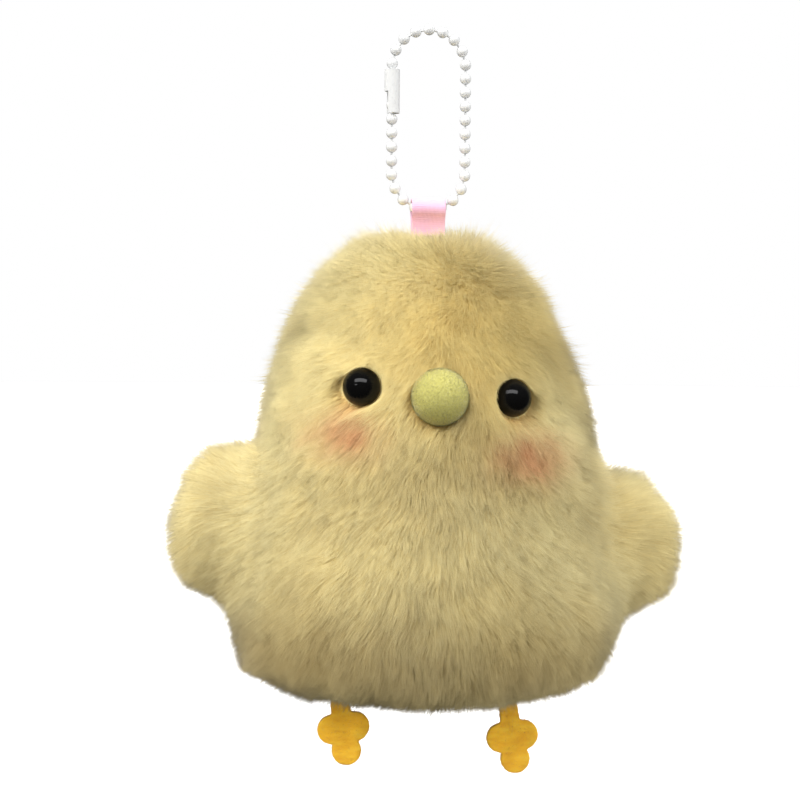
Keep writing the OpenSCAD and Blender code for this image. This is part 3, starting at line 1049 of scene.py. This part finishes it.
# The rounded edge: depth as a share of half the thickness, and inset in mm.
FOOT_EDGE = ((-1, 0.42), (-0.93, 0.12), (-0.6, 0), (0, 0.06), (0.6, 0), (0.93, 0.12), (1, 0.42))
FOOT_FUZZ = 2600
FOOT_EASING = 0.22 * MM
FOOT_FACE_RINGS = (0.3, 0.55, 0.8)
FOOT_WAVE = 0.12 * MM


def foot_inside(x, z, tall):
    """How far a point lies inside a foot's outline, which stands this tall on its lowest toe."""
    lobes = [TOE - np.hypot(x - a * MM, z - b * MM) for a, b in FOOT_TOES]
    stem_half = 2.3 * MM - 0.05 * np.clip(z - 9 * MM, 0, 6 * MM)
    stem = np.minimum(stem_half - np.abs(x), np.minimum(z - 7 * MM, tall - z))
    shapes = np.stack([*lobes, stem], 0) / FOOT_EASING
    return FOOT_EASING * np.log(np.exp(shapes).sum(0))


def foot_outline(tall):
    """Points evenly spaced along the outline, found along rays from the middle of the toes."""
    angle = np.linspace(-math.pi, math.pi, 2880, endpoint=False)
    near, far = np.zeros_like(angle), np.full_like(angle, 25 * MM)
    for _ in range(30):
        middle = (near + far) / 2
        x = FOOT_MIDDLE[0] + middle * np.sin(angle)
        z = FOOT_MIDDLE[1] - middle * np.cos(angle)
        inside = foot_inside(x, z, tall) > 0
        near, far = np.where(inside, middle, near), np.where(inside, far, middle)
    points = FOOT_MIDDLE + near[:, None] * np.stack([np.sin(angle), -np.cos(angle)], -1)
    closed = np.concatenate([points, points[:1]])
    run = np.concatenate([[0], np.cumsum(np.linalg.norm(np.diff(closed, axis=0), axis=1))])
    even = np.linspace(0, run[-1], FOOT_POINTS, endpoint=False)
    return np.stack([np.interp(even, run, closed[:, 0]), np.interp(even, run, closed[:, 1])], -1)


def make_foot(side):
    """Felt cut to three toes and a stem, with a slightly crushed edge."""
    hinge = Vector(joints[f"{side}_foot_swing"]["pos_m"])
    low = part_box(f"{side}_foot")[0].z
    underside = hinge.z + FOOT_DROP
    outline = foot_outline(underside + STEM_TOP - low)
    along = np.roll(outline, -1, 0) - np.roll(outline, 1, 0)
    outward = unit(np.stack([along[:, 1], -along[:, 0]], -1))
    edge = []
    for depth, inset in FOOT_EDGE:
        level = np.column_stack([outline, np.full(FOOT_POINTS, depth * MM)])
        ragged = wobble(level, 1.2 * MM, 81) * FOOT_RAGGED
        ring = outline + outward * (ragged - inset * MM)[:, None]
        edge.append((ring, depth * FOOT_THICK / 2))
    middle = np.array(FOOT_MIDDLE)
    front = [(middle + (edge[0][0] - middle) * s, -FOOT_THICK / 2) for s in FOOT_FACE_RINGS]
    back = [(middle + (edge[-1][0] - middle) * s, FOOT_THICK / 2) for s in FOOT_FACE_RINGS[::-1]]
    rings = [np.column_stack([r[:, 0], np.full(len(r), y), r[:, 1]]) for r, y in front + edge + back]
    ends = np.array([[middle[0], y, middle[1]] for y in (-FOOT_THICK / 2, FOOT_THICK / 2)])
    verts = np.concatenate([*rings, ends])
    verts[:, 1] += FOOT_WAVE * wobble(verts * [1, 0, 1], 7 * MM, 82 + SIDES[side])
    verts[:, 2] += low - (underside - FOOT_BEND)
    lean = FOOT_LEAN * smoothstep(-verts[:, 2], -1.5 * MM, 1.5 * MM)
    x, z = verts[:, 0].copy(), verts[:, 2].copy()
    verts[:, 0] = x * np.cos(lean) - z * np.sin(lean)
    verts[:, 2] = z * np.cos(lean) + x * np.sin(lean)
    verts += np.array([hinge.x, hinge.y, underside - FOOT_BEND])
    faces = [f[:, ::-1] for f in ring_grid(len(rings), FOOT_POINTS)]
    felt = new_mesh(f"{side}_foot_felt", verts, faces)
    felt.data.materials.append(MATERIALS["felt"])
    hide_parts(f"{side}_foot", f"{side}_foot_sewn_end")
    fuzz = make_fuzz(f"{side}_foot_fuzz", felt, FOOT_FUZZ, 0.55 * MM, 0.045 * MM, "felt")
    for piece in (felt, fuzz):
        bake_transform(piece)


def make_fuzz(name, obj, count, length, width, material):
    """Fine loose fibres standing on a piece."""
    root, normal = scatter(obj, count)
    lean = unit(normal + rng.normal(0, 0.5, root.shape))
    tip = root + lean * (length * rng.uniform(0.4, 1.3, count))[:, None]
    around = unit(rng.normal(size=root.shape))
    return strand_mesh(name, root, tip, np.full(count, width), around, {}, MATERIALS[material])


# ---- CAD nodes that show, or lie inside ----

NODE_MATERIALS = (
    ("beads", "bead"),
    ("links", "link"),
    ("clasp", "clasp"),
    ("washer", "washer"),
    ("eye", "eye"),
    ("filling", "filling"),
    ("seam", "thread"),
    ("panel", "skin"),
    ("wing", "skin"),
    ("foot", "felt"),
    ("ribbon", "ribbon"),
    ("beak", "flock"),
)


def dress_nodes():
    for name, node in nodes.items():
        kind = next(material for word, material in NODE_MATERIALS if word in name)
        node.data.materials.clear()
        node.data.materials.append(MATERIALS[kind])


# ---- Studio ----

FLOOR_Z = BASE_Z - 60 * MM
FLOOR_RADIUS = 6
SKY_STRENGTH = 0.85
REFLECTED_STRENGTH = 0.12


def make_floor():
    bpy.ops.mesh.primitive_circle_add(
        vertices=64, radius=FLOOR_RADIUS, fill_type="NGON", location=(0, 0, FLOOR_Z)
    )
    floor = bpy.context.object
    floor.name = "floor"
    material, _, _ = shader("floor_white", (0.93, 0.93, 0.93), 0.9, Specular_IOR_Level=0.0)
    floor.data.materials.append(material)
    floor.visible_diffuse = False
    floor.visible_glossy = False


def switch(tree, choice, off, on):
    """A node that passes on one shader where choice is 0 and another where it is 1."""
    node = tree.nodes.new("ShaderNodeMixShader")
    for i, socket in enumerate((choice, off.outputs[0], on.outputs[0])):
        tree.links.new(socket, node.inputs[i])
    return node


def make_world():
    """White where the camera sees it, and faint in reflections. Its light is bright above."""
    world = bpy.data.worlds.new("studio")
    bpy.context.scene.world = world
    world.use_nodes = True
    tree = world.node_tree
    tree.nodes.clear()
    coordinates = tree.nodes.new("ShaderNodeTexCoord")
    split = tree.nodes.new("ShaderNodeSeparateXYZ")
    tree.links.new(coordinates.outputs["Generated"], split.inputs[0])
    height = add(tree, "ShaderNodeMapRange", From_Min=-1)
    tree.links.new(split.outputs["Z"], height.inputs["Value"])
    glow = ramp(
        tree,
        height.outputs["Result"],
        [(0.0, (0.46, 0.44, 0.40)), (1.0, (0.98, 0.98, 1.0)), (0.5, (0.46, 0.46, 0.46))],
    )
    sky = add(tree, "ShaderNodeBackground", Strength=SKY_STRENGTH)
    tree.links.new(glow, sky.inputs["Color"])
    reflected = add(tree, "ShaderNodeBackground", Strength=REFLECTED_STRENGTH)
    tree.links.new(glow, reflected.inputs["Color"])
    seen = add(tree, "ShaderNodeBackground", Color=(*WHITE, 1))
    rays = tree.nodes.new("ShaderNodeLightPath")
    lighting = switch(tree, rays.outputs["Is Glossy Ray"], sky, reflected)
    shown = switch(tree, rays.outputs["Is Camera Ray"], lighting, seen)
    output = tree.nodes.new("ShaderNodeOutputWorld")
    tree.links.new(shown.outputs[0], output.inputs["Surface"])


def add_sun(name, towards, strength, size, color=(1, 1, 1)):
    """Soft, even light. towards is the direction from the object to the light."""
    lamp = bpy.data.lights.new(name, "SUN")
    lamp.energy = strength
    lamp.angle = math.radians(size)
    lamp.color = color
    sun = bpy.data.objects.new(name, lamp)
    bpy.context.scene.collection.objects.link(sun)
    sun.rotation_euler = Vector(towards).to_track_quat("Z", "Y").to_euler()
    sun.visible_glossy = False
    return sun


def add_softbox(name, place_at, size, power):
    """A large light that shows only as a soft reflection."""
    lamp = bpy.data.lights.new(name, "AREA")
    lamp.energy = power
    lamp.shape = "RECTANGLE"
    lamp.size, lamp.size_y = size
    box = bpy.data.objects.new(name, lamp)
    bpy.context.scene.collection.objects.link(box)
    box.visible_diffuse = False
    box.location = place_at
    aim = Vector((0, 0, BASE_Z + BODY_H / 2)) - Vector(place_at)
    box.rotation_euler = aim.to_track_quat("-Z", "Y").to_euler()


def light_feet():
    """Light from the front for the feet alone, which hang in the belly's shade."""
    feet = bpy.data.collections.new("feet")
    for obj in bpy.data.objects:
        if "_foot_" in obj.name and obj.name not in nodes:
            feet.objects.link(obj)
    sun = add_sun("feet_sun", (-0.2, -1.0, 0.1), 1.0, 40)
    sun.light_linking.receiver_collection = feet


def light_studio():
    make_world()
    add_sun("key_sun", (-0.75, -0.65, 0.95), 3.25, 50, (1, 0.985, 0.96))
    add_sun("side_sun", (1.0, -0.35, 0.5), 1.75, 60)
    add_sun("back_sun", (0.1, 0.8, 1.0), 1.5, 60)
    add_softbox("window", (-0.15, -0.6, 0.5), (1.1, 0.32), 6.0)
    bpy.context.scene.view_settings.view_transform = "Standard"


make_camera()
make_floor()
light_studio()
dress_nodes()
make_body_skin()
for wing_side in SIDES:
    make_wing_skin(wing_side)
grow_plush()
make_beak()
make_ribbon()
for foot_side in SIDES:
    make_foot(foot_side)
light_feet()
